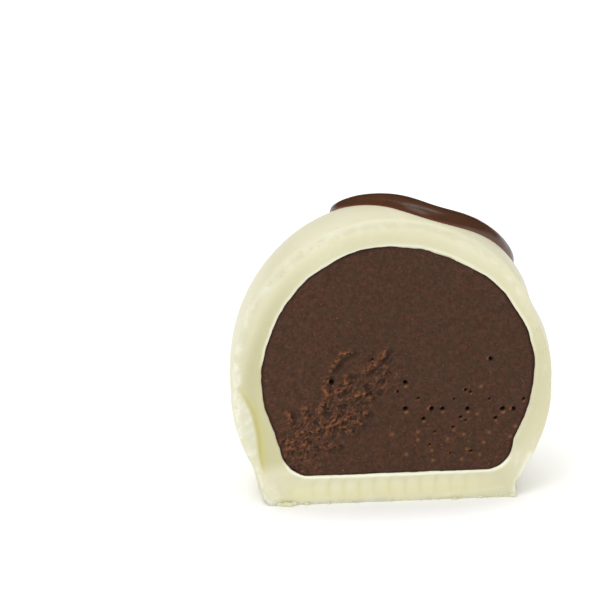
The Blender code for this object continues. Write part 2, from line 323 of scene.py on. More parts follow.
def window(t, span):
    """Rises from 0 to 1 at a span's start, and falls back to 0 at its end."""
    start, rise, end, fall = span
    return smooth((t - start) / rise) * smooth((end - t) / fall)


def full_turn(steps):
    return np.arange(steps) * 2 * math.pi / steps


def turned_from(turn, angle):
    """How far angles in degrees lie from an angle, from -180 to 180."""
    return (turn - angle + 180.0) % 360.0 - 180.0


def on_cut(x, z):
    """Points on the plane of the cut, as places for noise."""
    return np.stack([x, 0.0 * x, z], axis=-1)


def noise_at(points, size, shift=0.0):
    """Perlin noise of a grain size in millimetres, at an array of points. Each shift gives other noise."""
    flat = np.asarray(points, float).reshape(-1, 3) / size + shift
    values = [noise.noise(Vector(p)) for p in flat]
    return np.array(values).reshape(np.shape(points)[:-1])


def fractal_at(points, size, octaves, shift=0.0):
    total = 0.0
    for octave in range(octaves):
        total = total + noise_at(points, size / 2**octave, shift + 7.3 * octave) / 2**octave
    return total


def object_from(name, points, faces):
    mesh = bpy.data.meshes.new(name)
    mesh.from_pydata((np.asarray(points) * MM).tolist(), [], faces)
    mesh.validate()
    obj = bpy.data.objects.new(name, mesh)
    bpy.context.scene.collection.objects.link(obj)
    return obj


def closed_object(name, points, faces):
    """An object with a closed mesh, every face of which is turned outwards."""
    obj = object_from(name, points, faces)
    work = bmesh.new()
    work.from_mesh(obj.data)
    bmesh.ops.recalc_face_normals(work, faces=work.faces)
    work.to_mesh(obj.data)
    work.free()
    return obj


def ring_object(name, rings):
    """A closed surface through rings of points, each with as many, whose first and last shrink to a point."""
    rings = np.asarray(rings)
    rows, columns = rings.shape[:2]
    points = np.concatenate([rings.reshape(-1, 3), [rings[0].mean(axis=0), rings[-1].mean(axis=0)]])
    first = rows * columns
    last = first + 1
    faces = []
    for column in range(columns):
        after = (column + 1) % columns
        for row in range(rows - 1):
            here = row * columns
            there = here + columns
            faces.append((here + column, there + column, there + after, here + after))
        end = (rows - 1) * columns
        faces.append((first, column, after))
        faces.append((last, end + after, end + column))
    return closed_object(name, points, faces)


def cut_with(obj, cutter):
    """Takes the cutter out of the object, and removes it."""
    boolean = obj.modifiers.new("Cut", "BOOLEAN")
    boolean.operation = "DIFFERENCE"
    boolean.solver = "MANIFOLD"
    boolean.object = cutter
    graph = bpy.context.evaluated_depsgraph_get()
    mesh = bpy.data.meshes.new_from_object(obj.evaluated_get(graph))
    obj.modifiers.clear()
    obj.data = mesh
    bpy.data.objects.remove(cutter, do_unlink=True)


def points_of(mesh):
    points = np.empty(len(mesh.vertices) * 3, np.float32)
    mesh.vertices.foreach_get("co", points)
    return points.reshape(-1, 3).astype(float) / MM


def shade(obj, angle):
    obj.data.shade_smooth()
    obj.data.set_sharp_from_angle(angle=math.radians(angle))


def set_mask(mesh, name, values):
    """Keeps a value from 0 to 1 for each point, for the material to read."""
    layer = mesh.attributes.new(name, "FLOAT", "POINT")
    layer.data.foreach_set("value", np.clip(values, 0.0, 1.0).astype(np.float32))


def set_masks(mesh, chosen, masks):
    """Keeps masks that are given for the chosen points only, and are 0 at the others."""
    for name, values in masks.items():
        layer = np.zeros(len(mesh.vertices))
        layer[chosen] = values
        set_mask(mesh, name, layer)


def dome_radius(height):
    height = np.asarray(height, float)
    t = np.clip((height - SHOULDER_HEIGHT) / (DOME_HEIGHT - SHOULDER_HEIGHT), 0.0, 1.0)
    upper = DOME_RADIUS * (1.0 - t**DOME_POWER) ** (1.0 / DOME_POWER)
    low = np.clip((WAIST_HEIGHT - height) / (WAIST_HEIGHT - FOOT_HEIGHT), 0.0, 1.0)
    lower = DOME_RADIUS - (DOME_RADIUS - FOOT_RADIUS) * low**2
    return np.where(height > SHOULDER_HEIGHT, upper, lower)


def dome_point(angle, azimuth):
    """Points of the dome above its shoulder, by angle from the top and azimuth."""
    radius = DOME_RADIUS * np.sin(angle) ** (2.0 / DOME_POWER)
    height = (DOME_HEIGHT - SHOULDER_HEIGHT) * np.cos(angle) ** (2.0 / DOME_POWER)
    return np.stack([radius * np.cos(azimuth), radius * np.sin(azimuth), SHOULDER_HEIGHT + height], axis=-1)


def dome_profile():
    """Radius and height down the dome's side, finest at the foot."""
    top = dome_point(np.linspace(0.012, math.pi / 2, 90), 0.0)
    profile = [(x, z) for x, _, z in top]
    for height in np.linspace(WAIST_HEIGHT, FOOT_HEIGHT, 40):
        profile.append((float(dome_radius(height)), height))
    for height in np.linspace(FOOT_HEIGHT, FOOT_ROUNDING, 7)[1:-1]:
        profile.append((FOOT_RADIUS, height))
    for turn in np.linspace(0.0, math.pi / 2, 6):
        radius = FOOT_RADIUS - FOOT_ROUNDING * (1.0 - math.cos(turn))
        profile.append((radius, FOOT_ROUNDING * (1.0 - math.sin(turn))))
    for part in (0.9, 0.7, 0.4, 0.1):
        profile.append((FOOT_RADIUS * part, 0.0))
    return profile


def unevenness(azimuth, height):
    """How far the dome stands out from its turned form, at its foot and on its right side."""
    azimuth, height = np.broadcast_arrays(np.asarray(azimuth, float), np.asarray(height, float))
    away = azimuth % (2 * math.pi) - math.pi
    side = bell(away, SPREAD_ANGLE)
    low = bell(height - SPREAD_HEIGHT, SPREAD_FADE)
    round_foot = np.stack([np.cos(azimuth), np.sin(azimuth), 0.0 * azimuth], axis=-1) * FOOT_RADIUS
    rough = noise_at(round_foot, CRUMBLE_SIZE)
    foot = SPREAD * side * low + CRUMBLE * rough * smooth((2.5 - height) / 2.5)
    from_right = (azimuth + math.pi) % (2 * math.pi) - math.pi
    full = FULL * bell(height - FULL_HEIGHT, FULL_FADE)
    flat = FLAT * bell(height - FLAT_HEIGHT, FLAT_FADE)
    return foot + bell(from_right, SIDE_ANGLE) * (full - flat)


def make_dome():
    profile = np.array(dome_profile())
    azimuth = full_turn(300)
    radius = profile[:, 0:1] + 0.0 * azimuth
    height = profile[:, 1:2] + 0.0 * azimuth
    wide = smooth((radius - FOOT_RADIUS / 2 - 1.0) / 2.0)
    radius = radius + unevenness(azimuth + 0.0 * height, height) * wide
    rings = np.stack([radius * np.cos(azimuth), radius * np.sin(azimuth), height], axis=-1)
    fine = fractal_at(rings, 1.1, 2, 11.0) * smooth((2.6 - height) / 1.6) * smooth((height - 0.05) / 0.3)
    slow = noise_at(rings, 6.0, 4.0) * smooth(height / 3.0)
    outward = rings - np.array([0.0, 0.0, WAIST_HEIGHT])
    outward /= np.linalg.norm(outward, axis=-1, keepdims=True)
    rings = rings + outward * (0.1 * fine + 0.04 * slow)[..., None]
    rings[..., 2] = np.maximum(rings[..., 2], 0.0)
    return ring_object("shell", rings[::-1])


def inside_dome(x, z):
    radius = dome_radius(z) + unevenness(np.arctan2(-CUT_OFFSET, x), z)
    return (z > 0.0) & (np.hypot(x, CUT_OFFSET) < radius)


def outline_of(inside, turn):
    """How far the outline of a form lies from the cut face's centre, at angles round it."""
    near = np.zeros_like(turn)
    far = np.full_like(turn, KNIFE_REACH)
    for _ in range(HALVINGS):
        middle = (near + far) / 2
        within = inside(middle * np.cos(turn), FACE_CENTRE + middle * np.sin(turn))
        near = np.where(within, middle, near)
        far = np.where(within, far, middle)
    return near


def cut_outline(turn):
    return outline_of(inside_dome, turn)


def band_width(z):
    wide = BAND_WIDTH * smooth((BAND_TOP - z) / BAND_GROWTH)
    return wide + (BAND_FOOT_WIDTH - BAND_WIDTH) * smooth((BAND_FULL - z) / BAND_FALL)


def band_inset(x, z, inset):
    """How far a point lies inside the frosty band's inner edge, and where the band is."""
    left = (x < 0.0) & (z < BAND_TOP)
    return inset - band_width(z), left


def along_scallop(x, z, bow):
    """How far across its scallop a point lies, from 0 to 1, where the scallops' sides bow."""
    curve = bow * ((z - 0.5 * CHATTER_TOP) / CHATTER_TOP) ** 2
    return ((x - curve - CHATTER_LEFT) / CHATTER_STEP) % 1.0


def chatter(x, z):
    """The scallops that the knife left along the base, as shallow bowls with a ridge at the left."""
    along = along_scallop(x, z, CHATTER_BOW)
    bowls = smooth(along / CHATTER_RIDGE) * (1.0 - smooth((along - CHATTER_RIDGE) / (1.0 - CHATTER_RIDGE)))
    return bowls * window(x, CHATTER_ACROSS) * window(z, CHATTER_UPRIGHT)


def chatter_arcs(x, z):
    """The thin darker arc at the left of each scallop."""
    along = along_scallop(x, z, ARC_BOW)
    away = np.minimum(along, 1.0 - along) * CHATTER_STEP
    return bell(away, ARC_WIDTH) * window(x, ARC_ACROSS) * window(z, ARC_UPRIGHT)


def highlight_spots_and_marks(x, z):
    """Whitish marks on the cut: a painted highlight in each scallop, the streak down the tab and a knife's
    line.
    """
    height = 1.45 + 0.06 * (x - CHATTER_LEFT)
    spot = bell(along_scallop(x, z, 0.0) - 0.5, 0.24) * bell(z - height, 0.45)
    spot = FAINT * spot * window(x, (CHATTER_LEFT, 0.4, CHATTER_RIGHT, 1.5))
    ragged = 1.0 + 0.5 * noise_at(on_cut(x, z), 0.5, 31.0)
    for start, end in zip(TAB_STREAK, TAB_STREAK[1:]):
        away = segment_distance(x, z, start, end)
        spot = np.maximum(spot, bell(away, STREAK_WIDTH * ragged))
    line = segment_distance(x, z, *KNIFE_LINE)
    return np.maximum(spot, FAINT * bell(line, KNIFE_LINE_WIDTH))


def rim_frost_and_highlight(x, z, inset, turn):
    """Whitish spots along the rim, partly frost and partly painted highlight, at the far left of the face and
    at its upper right.
    """
    ragged = smooth((noise_at(on_cut(x, z), 0.8, 61.0) + 0.15) / 0.4)
    far_left = 0.75 * bell(inset - 0.34, 0.32) * bell(turn - FAR_LEFT, 14.0)
    upper_right = 0.5 * bell(inset - 0.42, 0.2) * bell(turned_from(turn, UPPER_RIGHT), 16.0)
    return ragged * (far_left + upper_right)


def shell_relief(x, z, inset, to_ganache):
    """How far the shell's cut face lies behind the plane of the cut.

    inset is the way in from the face's outline, and to_ganache the way that is left to the filling.
    """
    place = on_cut(x, z)
    at_foot = smooth((1.0 - z) / 0.7)
    at_tab = smooth((TAB_TOP - z) / 1.5) * smooth((x - TAB_X + 1.2) / 0.8)
    rounding_radius = RIM_ROUNDING * (1.0 + 0.25 * noise_at(place, 2.2, 2.0))
    rounding_radius = rounding_radius * (1.0 - 0.9 * at_foot) * (1.0 - 0.6 * at_tab)
    out = np.clip(rounding_radius - RIM_SPREAD - inset, 0.0, rounding_radius)
    rounding = rounding_radius - np.sqrt(rounding_radius**2 - out**2)
    dish = FACE_DISH * smooth((inset - RIM_ROUNDING) / 1.5)
    lip = LIP_HEIGHT * bell(to_ganache - LIP_PLACE, LIP_WIDTH)
    groove = GROOVE_DEPTH * np.clip(1.0 - to_ganache / GROOVE_WIDTH, 0.0, 1.0) ** 1.6
    behind_band, left = band_inset(x, z, inset)
    floor = smooth(behind_band / STEP_WIDTH) * (1.0 - 0.7 * smooth(behind_band / VALLEY_FLOOR))
    ends = window(z, (2.8, 2.0, BAND_TOP, 5.0)) * smooth((VALLEY_END - x) / 2.5)
    valley = VALLEY_DEPTH * floor * ends * left
    lump = LUMP_RISE * (1.0 - smooth(np.hypot(x - LUMP_X, z - LUMP_Z) / LUMP_RADIUS))
    tab = TAB_RISE * tab_at(x, z)
    frost = frost_at(x, z, inset)
    grain = fractal_at(place, 0.5, 3, 5.0)
    slow = noise_at(place, 3.0, 9.0)
    peel = noise_at(place, 0.9, 14.0)
    edge = bell(inset - 0.45, 0.35)
    relief = rounding + dish - lip + groove + valley - lump - tab
    relief = relief + CHATTER_DEPTH * chatter(x, z) + 0.03 * peel * smooth(inset / 0.3)
    return relief + 0.05 * slow + grain * (0.01 + 0.04 * frost + 0.02 * edge)


def tab_at(x, z):
    """Where the tab at the lower right of the cut is, from 0 to 1."""
    return smooth(1.0 - np.abs(x - TAB_X) / TAB_WIDTH) * smooth((TAB_TOP - z) / 0.6)


def frost_at(x, z, inset):
    """Where the cut is frosty and grainy: the band low on the left, the foot's edge and the tab."""
    behind_band, left = band_inset(x, z, inset)
    band = smooth(-behind_band / 0.25) * left * smooth((BAND_TOP - z) / 2.5)
    corner = smooth((3.0 - z) / 1.5) * smooth((-9.5 - x) / 1.5) * 0.6
    foot = smooth((0.4 - z) / 0.4) * 0.35
    return np.clip(band + corner + 0.5 * tab_at(x, z) + foot, 0.0, 1.0)


def inside_ganache(x, z):
    profile = np.array(ganache_profile(0.0))[::-1]
    radius = np.interp(z, profile[:, 1], profile[:, 0], left=0.0, right=0.0)
    return np.hypot(x - GANACHE_X, CUT_OFFSET) < radius + ganache_swell(x, z)


def ganache_outline(turn):
    return outline_of(inside_ganache, turn)


def ganache_swell(x, z):
    """How far the filling stands out of its turned form, in the directions across the cut."""
    turn = np.degrees(np.arctan2(z - GANACHE_CENTRE, x - GANACHE_X))
    swell = 0.0 * turn
    for angle, width, depth in GANACHE_DENTS:
        swell = swell + depth * bell(turned_from(turn, angle), width)
    rim = on_cut(np.cos(np.radians(turn)), np.sin(np.radians(turn))) * GANACHE_RADIUS
    return swell + 0.1 * noise_at(rim, 1.8, 3.0) + 0.05 * noise_at(rim, 0.7, 13.0)


def ganache_profile(grow):
    """The filling's radius and height from top to bottom, grown all round by a given amount."""
    radius = GANACHE_RADIUS + grow
    corner = GANACHE_CORNER + grow
    corner_x = GANACHE_FOOT_RADIUS - GANACHE_CORNER
    corner_z = GANACHE_BOTTOM + GANACHE_CORNER
    last = math.acos((7.5 - GANACHE_CENTRE) / GANACHE_RADIUS)
    profile = []
    for turn in np.linspace(0.02, last, 60):
        profile.append((radius * math.sin(turn), GANACHE_CENTRE + radius * math.cos(turn)))
    for turn in np.linspace(0.0, math.pi / 2, 14):
        profile.append((corner_x + corner * math.cos(turn), corner_z - corner * math.sin(turn)))
    for part in (0.8, 0.5, 0.2):
        profile.append((corner_x * part, GANACHE_BOTTOM - grow))
    return profile


def make_ganache_body(name, grow):
    profile = np.array(ganache_profile(grow))
    azimuth = full_turn(256)
    radius = profile[:, 0:1]
    height = profile[:, 1:2] + 0.0 * azimuth
    x = GANACHE_X + radius * np.cos(azimuth)
    y = radius * np.sin(azimuth)
    swell = ganache_swell(x, height) * smooth((6.0 - y) / 6.0) * smooth(radius / 4.0)
    across = on_cut(x - GANACHE_X, height - GANACHE_CENTRE)
    across /= np.maximum(np.linalg.norm(across, axis=-1, keepdims=True), 0.001)
    rings = np.stack([x, y, height], axis=-1) + across * swell[..., None]
    return ring_object(name, rings[::-1])


def make_shell_knife():
    """A block in front of the cut, whose back has the cut face's relief on rings that follow the outline."""
    turn = full_turn(620)
    outline = cut_outline(turn)
    filling = ganache_outline(turn)
    rim = np.array([-2.5, -0.8, -0.3, -0.2, -0.15, -0.12, -0.09, -0.05, 0.0, 0.05, 0.1, 0.17, 0.25, 0.34])
    share = np.concatenate([np.linspace(0.0, 0.84, 22), np.linspace(0.86, 1.0, 9)])
    inner = np.array([0.3, 0.8, 2.0, 5.0, 9.0])
    rings = [outline - inset for inset in rim]
    rings += [(outline - 0.43) * (1.0 - part) + filling * part for part in share]
    rings += [filling - more for more in inner]
    away = np.array(rings)
    x = away * np.cos(turn)
    z = FACE_CENTRE + away * np.sin(turn)
    relief = shell_relief(x, z, outline - away, away - filling)
    face = np.stack([x, -CUT_OFFSET + relief, z], axis=-1)
    front = face[:1].copy()
    front[..., 1] = -KNIFE_REACH
    return ring_object("shell_knife", np.concatenate([front, face]))


def face_place(points):
    """For points on the cut: the way in from the face's outline and the way left to the filling."""
    turn = np.arctan2(points[:, 2] - FACE_CENTRE, points[:, 0])
    away = np.hypot(points[:, 2] - FACE_CENTRE, points[:, 0])
    return cut_outline(turn) - away, away - ganache_outline(turn)


def inner_shade(z, turn, inset, to_ganache):
    """How much painted shade darkens the cut toward the filling: most on the left, least low down."""
    share = inset / np.maximum(inset + to_ganache, 0.1)
    sideways = bell(turn - FAR_LEFT, 12.0)
    leftward = 0.3 + 0.7 * window(turn, SHADED_SIDE)
    edge = np.maximum(smooth((to_ganache - 0.12) / 0.3), window(turn, LOW_LEFT))
    return smooth((share - 0.1 + 0.2 * sideways) / 0.7) * leftward * smooth((z - 3.5) / 2.0) * edge


def valley_shade_masks(x, z, inset, to_ganache):
    """Where painted shade darkens the valley inside the frosty band, and the olive line of painted shade at
    its outer edge.
    """
    behind_band, left = band_inset(x, z, inset)
    ends = window(z, (3.0, 1.6, BAND_TOP, 5.0)) * smooth((VALLEY_END - x) / 2.5) * left
    valley = smooth(behind_band / STEP_WIDTH) * ends * smooth(to_ganache / 0.2)
    return valley, bell(behind_band - 0.3, 0.35) * ends


def mark_shell(mesh):
    """Masks on the cut: its frost, valley and olive line of painted shade, rim of frost and painted
    highlight, painted inner shade, lip's painted highlight, spots that are partly painted highlight and arcs,
    and its base, its right side's painted shade and its turned rim's painted shade.
    """
    points = points_of(mesh)
    near = points[:, 1] < -CUT_OFFSET + 1.6
    x, y, z = points[near].T
    inset, to_ganache = face_place(points[near])
    on_face = np.abs(y + CUT_OFFSET - shell_relief(x, z, inset, to_ganache)) < 0.03
    turn = np.degrees(np.arctan2(z - FACE_CENTRE, x)) % 360.0
    left_side = window(turn, LEFT_SIDE)
    rim = bell(inset - RIM_PLACE + RIM_SHIFT_LEFT * left_side, RIM_WIDTH)
    # The lip's painted highlight is strong low down, weaker high up and faint between
    lip = 0.04 + 0.41 * smooth((z - 13.5) / 3.0) + 0.96 * smooth((4.5 - z) / 1.0)
    right_shade_fade = 0.4 + 0.6 * smooth((z - 3.0) / 7.0) + 0.4 * smooth((4.5 - z) / 2.0)
    valley, olive = valley_shade_masks(x, z, inset, to_ganache)
    masks = {
        "cut": np.ones(len(x)),
        "frost": frost_at(x, z, inset),
        # painted shade in the recessed valley
        "valley": valley,
        # painted shade along the step into the valley
        "olive": olive,
        # whitish frost and painted highlight along the rim, strongest on the upper left
        "rim": rim * (0.35 + 0.65 * window(turn, UPPER_LEFT)),
        "shade": inner_shade(z, turn, inset, to_ganache),
        # painted shade on the cut's right side
        "right": smooth((x - 5.0) / 8.0) * smooth((21.0 - z) / 6.0) * right_shade_fade,
        # painted highlight on the lip beside the filling
        "lip": bell(to_ganache - 0.12, 0.14) * lip,
        # whitish marks, with painted highlights in the scallops and on the rim
        "spots": np.maximum(highlight_spots_and_marks(x, z), rim_frost_and_highlight(x, z, inset, turn)),
        "arcs": chatter_arcs(x, z),
        "base": smooth((2.6 - z) / 1.3) * (1.0 - smooth((x - 9.3) / 1.5)),
        # painted shade on the rounded rim along the upper side
        "turned": smooth((0.9 + 0.2 * left_side - inset) / 0.7) * window(turn, UPPER_SIDE),
    }
    set_masks(mesh, near, {name: values * on_face for name, values in masks.items()})


def make_shell():
    shell = make_dome()
    cut_with(shell, make_ganache_body("hollow", 0.0))
    cut_with(shell, make_shell_knife())
    mark_shell(shell.data)
    shade(shell, 50)
    return shell


def torn_at(x, z):
    """How torn the filling's face is, from 0 to 1: most from its lower left corner to its middle."""
    start = np.array(TORN_START)
    along = np.array(TORN_END) - start
    length = np.linalg.norm(along)
    along = along / length
    run = (x - start[0]) * along[0] + (z - start[1]) * along[1]
    side = (x - start[0]) * along[1] - (z - start[1]) * along[0]
    half = TORN_HALF_WIDTH * (1.0 - 0.25 * run / length)
    middle = smooth(1.25 - np.abs(side) / half)
    return middle * smooth((run + 1.5) / 2.0) * smooth((length + 1.0 - run) / 2.5)


def pit_depth(x, z):
    """Small holes, longer one way than the other, each with a raised lower edge."""
    depth = 0.0 * x
    for number, (pit_x, pit_z, radius) in enumerate(PITS):
        lean = 0.9 * math.sin(2.4 * number)
        along = (x - pit_x) * math.cos(lean) + (z - pit_z) * math.sin(lean)
        side = (z - pit_z) * math.cos(lean) - (x - pit_x) * math.sin(lean)
        away = np.hypot(along * 0.85, side * 1.15)
        depth = depth + PIT_DEPTH * (1.0 - smooth((away - 0.3 * radius) / (0.6 * radius)))
        below = np.hypot(x - pit_x - 0.3 * radius, z - pit_z + 1.2 * radius)
        depth = depth - PIT_EDGE * bell(below, 0.6 * radius)
    return depth


def pit_shade(x, z):
    """Where painted shade darkens the pits, from 0 to 1."""
    dark = 0.0 * x
    for pit_x, pit_z, radius in PITS:
        away = np.hypot(x - pit_x, z - pit_z)
        dark = np.maximum(dark, 1.0 - smooth((away - 0.55 * radius) / (0.5 * radius)))
    return dark


def tan_at(x, z):
    """Where the filling is tan: at one edge of each pit and at the bright flecks."""
    tan = 0.0 * x
    for number, (pit_x, pit_z, radius) in enumerate(PITS):
        shift = (-0.9, 0.15) if number % 3 == 0 else (0.25, -1.2)
        away = np.hypot(x - pit_x - shift[0] * radius, z - pit_z - shift[1] * radius)
        tan = np.maximum(tan, bell(away, 0.55 * radius))
    for fleck_x, fleck_z in BRIGHT_FLECKS:
        away = np.hypot(x - fleck_x, z - fleck_z)
        tan = np.maximum(tan, 0.7 * bell(away, FLECK_REACH))
    return tan


def segment_distance(x, z, start, end):
    """How far points lie from a line between two points."""
    along = np.array(end) - np.array(start)
    share = ((x - start[0]) * along[0] + (z - start[1]) * along[1]) / (along @ along)
    share = np.clip(share, 0.0, 1.0)
    return np.hypot(x - start[0] - share * along[0], z - start[1] - share * along[1])


def tears_at(x, z):
    """Where the torn face stands up in ragged ridges and where it is hollow beside them, from 0 to 1."""
    place = on_cut(x, z)
    shift_x = TEAR_SHIFT * noise_at(place, 0.7, 31.0)
    shift_z = TEAR_SHIFT * noise_at(place, 0.7, 37.0)
    ragged = 0.75 + 0.5 * noise_at(place, 0.45, 41.0)
    ridge = 0.0 * x
    hollow = 0.0 * x
    for tear in TEARS:
        for start, end in zip(tear, tear[1:]):
            away = segment_distance(x + shift_x, z + shift_z, start, end)
            beside = segment_distance(x + shift_x - 0.38, z + shift_z + 0.12, start, end)
            ridge = np.maximum(ridge, bell(away, TEAR_WIDTH))
            hollow = np.maximum(hollow, bell(beside, 1.3 * TEAR_WIDTH))
    torn = torn_at(x, z)
    fibre_place = on_cut(0.8 * x + 0.6 * z, 2.6 * (0.8 * z - 0.6 * x))
    fibres = np.clip(1.0 - 7.0 * np.abs(noise_at(fibre_place, 1.25, 8.0)), 0.0, 1.0)
    gaps = smooth((noise_at(place, 0.62, 17.0) - 0.12) / 0.2)
    broken = smooth((fractal_at(place, 0.34, 2, 51.0) + 0.45) / 0.55)
    ridge = np.maximum(ridge * ragged, 0.6 * fibres * torn * ragged) * broken
    hollow = np.maximum(hollow * (1.0 - ridge), 0.7 * gaps * torn * (1.0 - ridge))
    return np.clip(ridge, 0.0, 1.0), np.clip(hollow, 0.0, 1.0)


def to_border(x, z):
    """How far points of the filling's face lie inside its outline."""
    turns = np.linspace(-math.pi, math.pi, 361)
    outline = ganache_outline(turns)
    turn = np.arctan2(z - FACE_CENTRE, x)
    return np.interp(turn, turns, outline) - np.hypot(x, z - FACE_CENTRE)


def ganache_relief(x, z):
    """How far the filling's cut face lies behind the plane of the cut."""
    place = on_cut(x, z)
    grain = fractal_at(place, 0.42, 2, 1.0)
    slow = noise_at(place, 3.5, 6.0)
    lumps = fractal_at(place, 0.9, 2, 12.0)
    ridge, hollow = tears_at(x, z)
    border = np.clip(1.0 - to_border(x, z) / 0.35, 0.0, 1.0)
    relief = GANACHE_SUNK + 0.05 * slow + 0.035 * grain + 0.08 * border**2
    relief = relief + 0.1 * torn_at(x, z) * lumps
    return relief - TEAR_RISE * ridge + TEAR_HOLLOW * hollow + pit_depth(x, z)


def block_object(name, sheet):
    """Closes a grid of points into a block that reaches forward of the cut."""
    rows, columns = sheet.shape[:2]
    corners = sheet[[0, 0, -1, -1], [0, -1, -1, 0]].copy()
    corners[:, 1] = -KNIFE_REACH
    points = np.concatenate([sheet.reshape(-1, 3), corners])
    index = np.arange(rows * columns).reshape(rows, columns)
    quads = np.stack([index[:-1, :-1], index[:-1, 1:], index[1:, 1:], index[1:, :-1]], axis=-1)
    faces = quads.reshape(-1, 4).tolist()
    a, b, c, d = range(rows * columns, rows * columns + 4)
    faces.append([*index[0].tolist(), b, a])
    faces.append([*index[:, -1].tolist(), c, b])
    faces.append([*index[-1, ::-1].tolist(), d, c])
    faces.append([*index[::-1, 0].tolist(), a, d])
    faces.append([a, b, c, d])
    return closed_object(name, points, faces)


def mark_ganache(mesh):
    """Masks on the filling's face: its tears and the painted shade in the hollows beside them, the painted
    shade in its pits, its flecks and grain, and the painted shade along its border.
    """
    points = points_of(mesh)
    front = points[:, 1] < 0.0
    x, _, z = points[front].T
    ridge, hollow = tears_at(x, z)
    left = smooth((-2.0 - x) / 8.0)
    low = smooth((9.0 - z) / 4.0)
    torn = torn_at(x, z)
    masks = {
        "torn": torn,
        # painted shade in the pits
        "pit": pit_shade(x, z),
        "speckle": 0.1 + 0.12 * left + 0.12 * low + 0.5 * torn,
        "blots": 0.1 + 0.25 * left + 0.1 * low,
        "tan": tan_at(x, z),
        "ridge": ridge,
        "hollow": hollow,
        # painted shade along the border
        "border": smooth(1.0 - to_border(x, z) / 0.3),
    }
    set_masks(mesh, front, masks)


def make_ganache():
    ganache = make_ganache_body("ganache_filling", GANACHE_GROWTH)
    side = np.arange(-13.4, 14.6, GRAIN_STEP)
    height = np.arange(2.0, 26.4, GRAIN_STEP)
    x, z = np.meshgrid(side, height)
    sheet = np.stack([x, -CUT_OFFSET + ganache_relief(x, z), z], axis=-1)
    cut_with(ganache, block_object("ganache_knife", sheet))
    mark_ganache(ganache.data)
    shade(ganache, 60)
    return ganache


def joined_grains(name, grains, sides, draw):
    """One mesh of grains with the same sides, each grain in a shade of its own."""
    points = []
    faces = []
    shades = []
    for corners in grains:
        first = len(points)
        points += list(corners)
        faces += [tuple(first + i for i in side) for side in sides]
        shades += [draw.random()] * len(corners)
    obj = object_from(name, points, faces)
    set_mask(obj.data, "shade", np.array(shades))
    return obj


def bits(places, sizes, draw):
    """The corners of small irregular bits, each a dented eight-sided grain."""
    for place, size in zip(places, sizes):
        turn = Matrix.Rotation(draw.uniform(0, 2 * math.pi), 3, "Y")
        turn = turn @ Matrix.Rotation(draw.uniform(0, math.pi), 3, "X")
        stretch = (draw.uniform(0.6, 1.7), draw.uniform(0.4, 0.9), draw.uniform(0.5, 1.1))
        corners = []
        for corner in BIT_CORNERS:
            local = [(part + draw.uniform(-0.3, 0.3)) * grow for part, grow in zip(corner, stretch)]
            corners.append(Vector(place) + turn @ Vector(local) * size)
        yield corners


def crumbs(ball, places, sizes, draw):
    """The corners of small soft lumps, each a dented ball."""
    for number, (place, size) in enumerate(zip(places, sizes)):
        dents = 1.0 + 0.35 * noise_at(ball, 0.9, 10.0 + number)
        stretch = (draw.uniform(0.8, 1.6), draw.uniform(0.6, 1.0), draw.uniform(0.5, 0.9))
        yield ball * dents[:, None] * np.array(stretch) * size + np.array(place)


def make_ball():
    """The corners and the sides of a ball of radius 1."""
    ball = bmesh.new()
    bmesh.ops.create_icosphere(ball, subdivisions=2, radius=1.0)
    corners = np.array([vertex.co for vertex in ball.verts])
    sides = [tuple(vertex.index for vertex in face.verts) for face in ball.faces]
    ball.free()
    return corners, sides


def fleck_places(draw):
    """Places and sizes for the flecks: on the tears, beside the pits, low on the right and here and there."""
    x = np.array([draw.uniform(-12.2, 13.4) for _ in range(FLECK_TRIES)])
    z = np.array([draw.uniform(3.0, 25.0) for _ in range(FLECK_TRIES)])
    inside = to_border(x, z) > 0.35
    x, z = x[inside], z[inside]
    ridge, hollow = tears_at(x, z)
    left = 0.035 * smooth((-3.0 - x) / 3.0)
    low = 0.03 * smooth((8.0 - z) / 2.0)
    chance = 0.9 * ridge**2 * (1.0 - hollow) + left + low + 0.03
    chosen = np.array([draw.random() for _ in x]) < chance
    places = [(x, z, draw.uniform(0.04, 0.075)) for x, z in zip(x[chosen], z[chosen])]
    for x, z, radius in PITS:
        places.append((x - 0.6 * radius, z + 0.9 * radius, 0.35 * radius))
        places.append((x + 0.5 * radius, z - 1.1 * radius, 0.4 * radius))
    for x, z in BRIGHT_FLECKS:
        places.append((x, z, draw.uniform(0.05, 0.09)))
    return places


def make_flecks():
    """Flecks of cocoa on the filling's face."""
    draw = random.Random(11)
    flecks = np.array(fleck_places(draw))
    y = -CUT_OFFSET + ganache_relief(flecks[:, 0], flecks[:, 1])
    places = np.stack([flecks[:, 0], y, flecks[:, 1]], axis=-1)
    grains = bits(places.tolist(), flecks[:, 2].tolist(), draw)
    return joined_grains("ganache_flecks", grains, BIT_SIDES, draw)


def make_crumbs():
    """Crumbs of white chocolate stuck along the foot of the cut and its rim."""
    draw = random.Random(5)
    places = []
    sizes = []
    for _ in range(CRUMBS):
        x = draw.uniform(-11.6, 11.4)
        size = draw.uniform(0.05, 0.15)
        y = -CUT_OFFSET + draw.uniform(-0.1, 0.25)
        places.append((x, y, 0.5 * size))
        sizes.append(size)
    for x, out, size in BIG_CRUMBS:
        places.append((x, -CUT_OFFSET - out, 0.5 * size))
        sizes.append(size)
    turns = np.array([draw.uniform(-0.2, math.pi + 0.2) for _ in range(CRUMBS)])
    outline = cut_outline(turns)
    for turn, reach in zip(turns, outline):
        inset = draw.uniform(0.12, 0.7)
        x = (reach - inset) * math.cos(turn)
        z = FACE_CENTRE + (reach - inset) * math.sin(turn)
        relief = shell_relief(np.array([x]), np.array([z]), np.array([inset]), np.array([1.5]))
        places.append((x, -CUT_OFFSET + float(relief[0]), z))
        sizes.append(draw.uniform(0.03, 0.09))
    ball, sides = make_ball()
    obj = joined_grains("white_crumbs", crumbs(ball, places, sizes, draw), sides, draw)
    shade(obj, 180)
    return obj


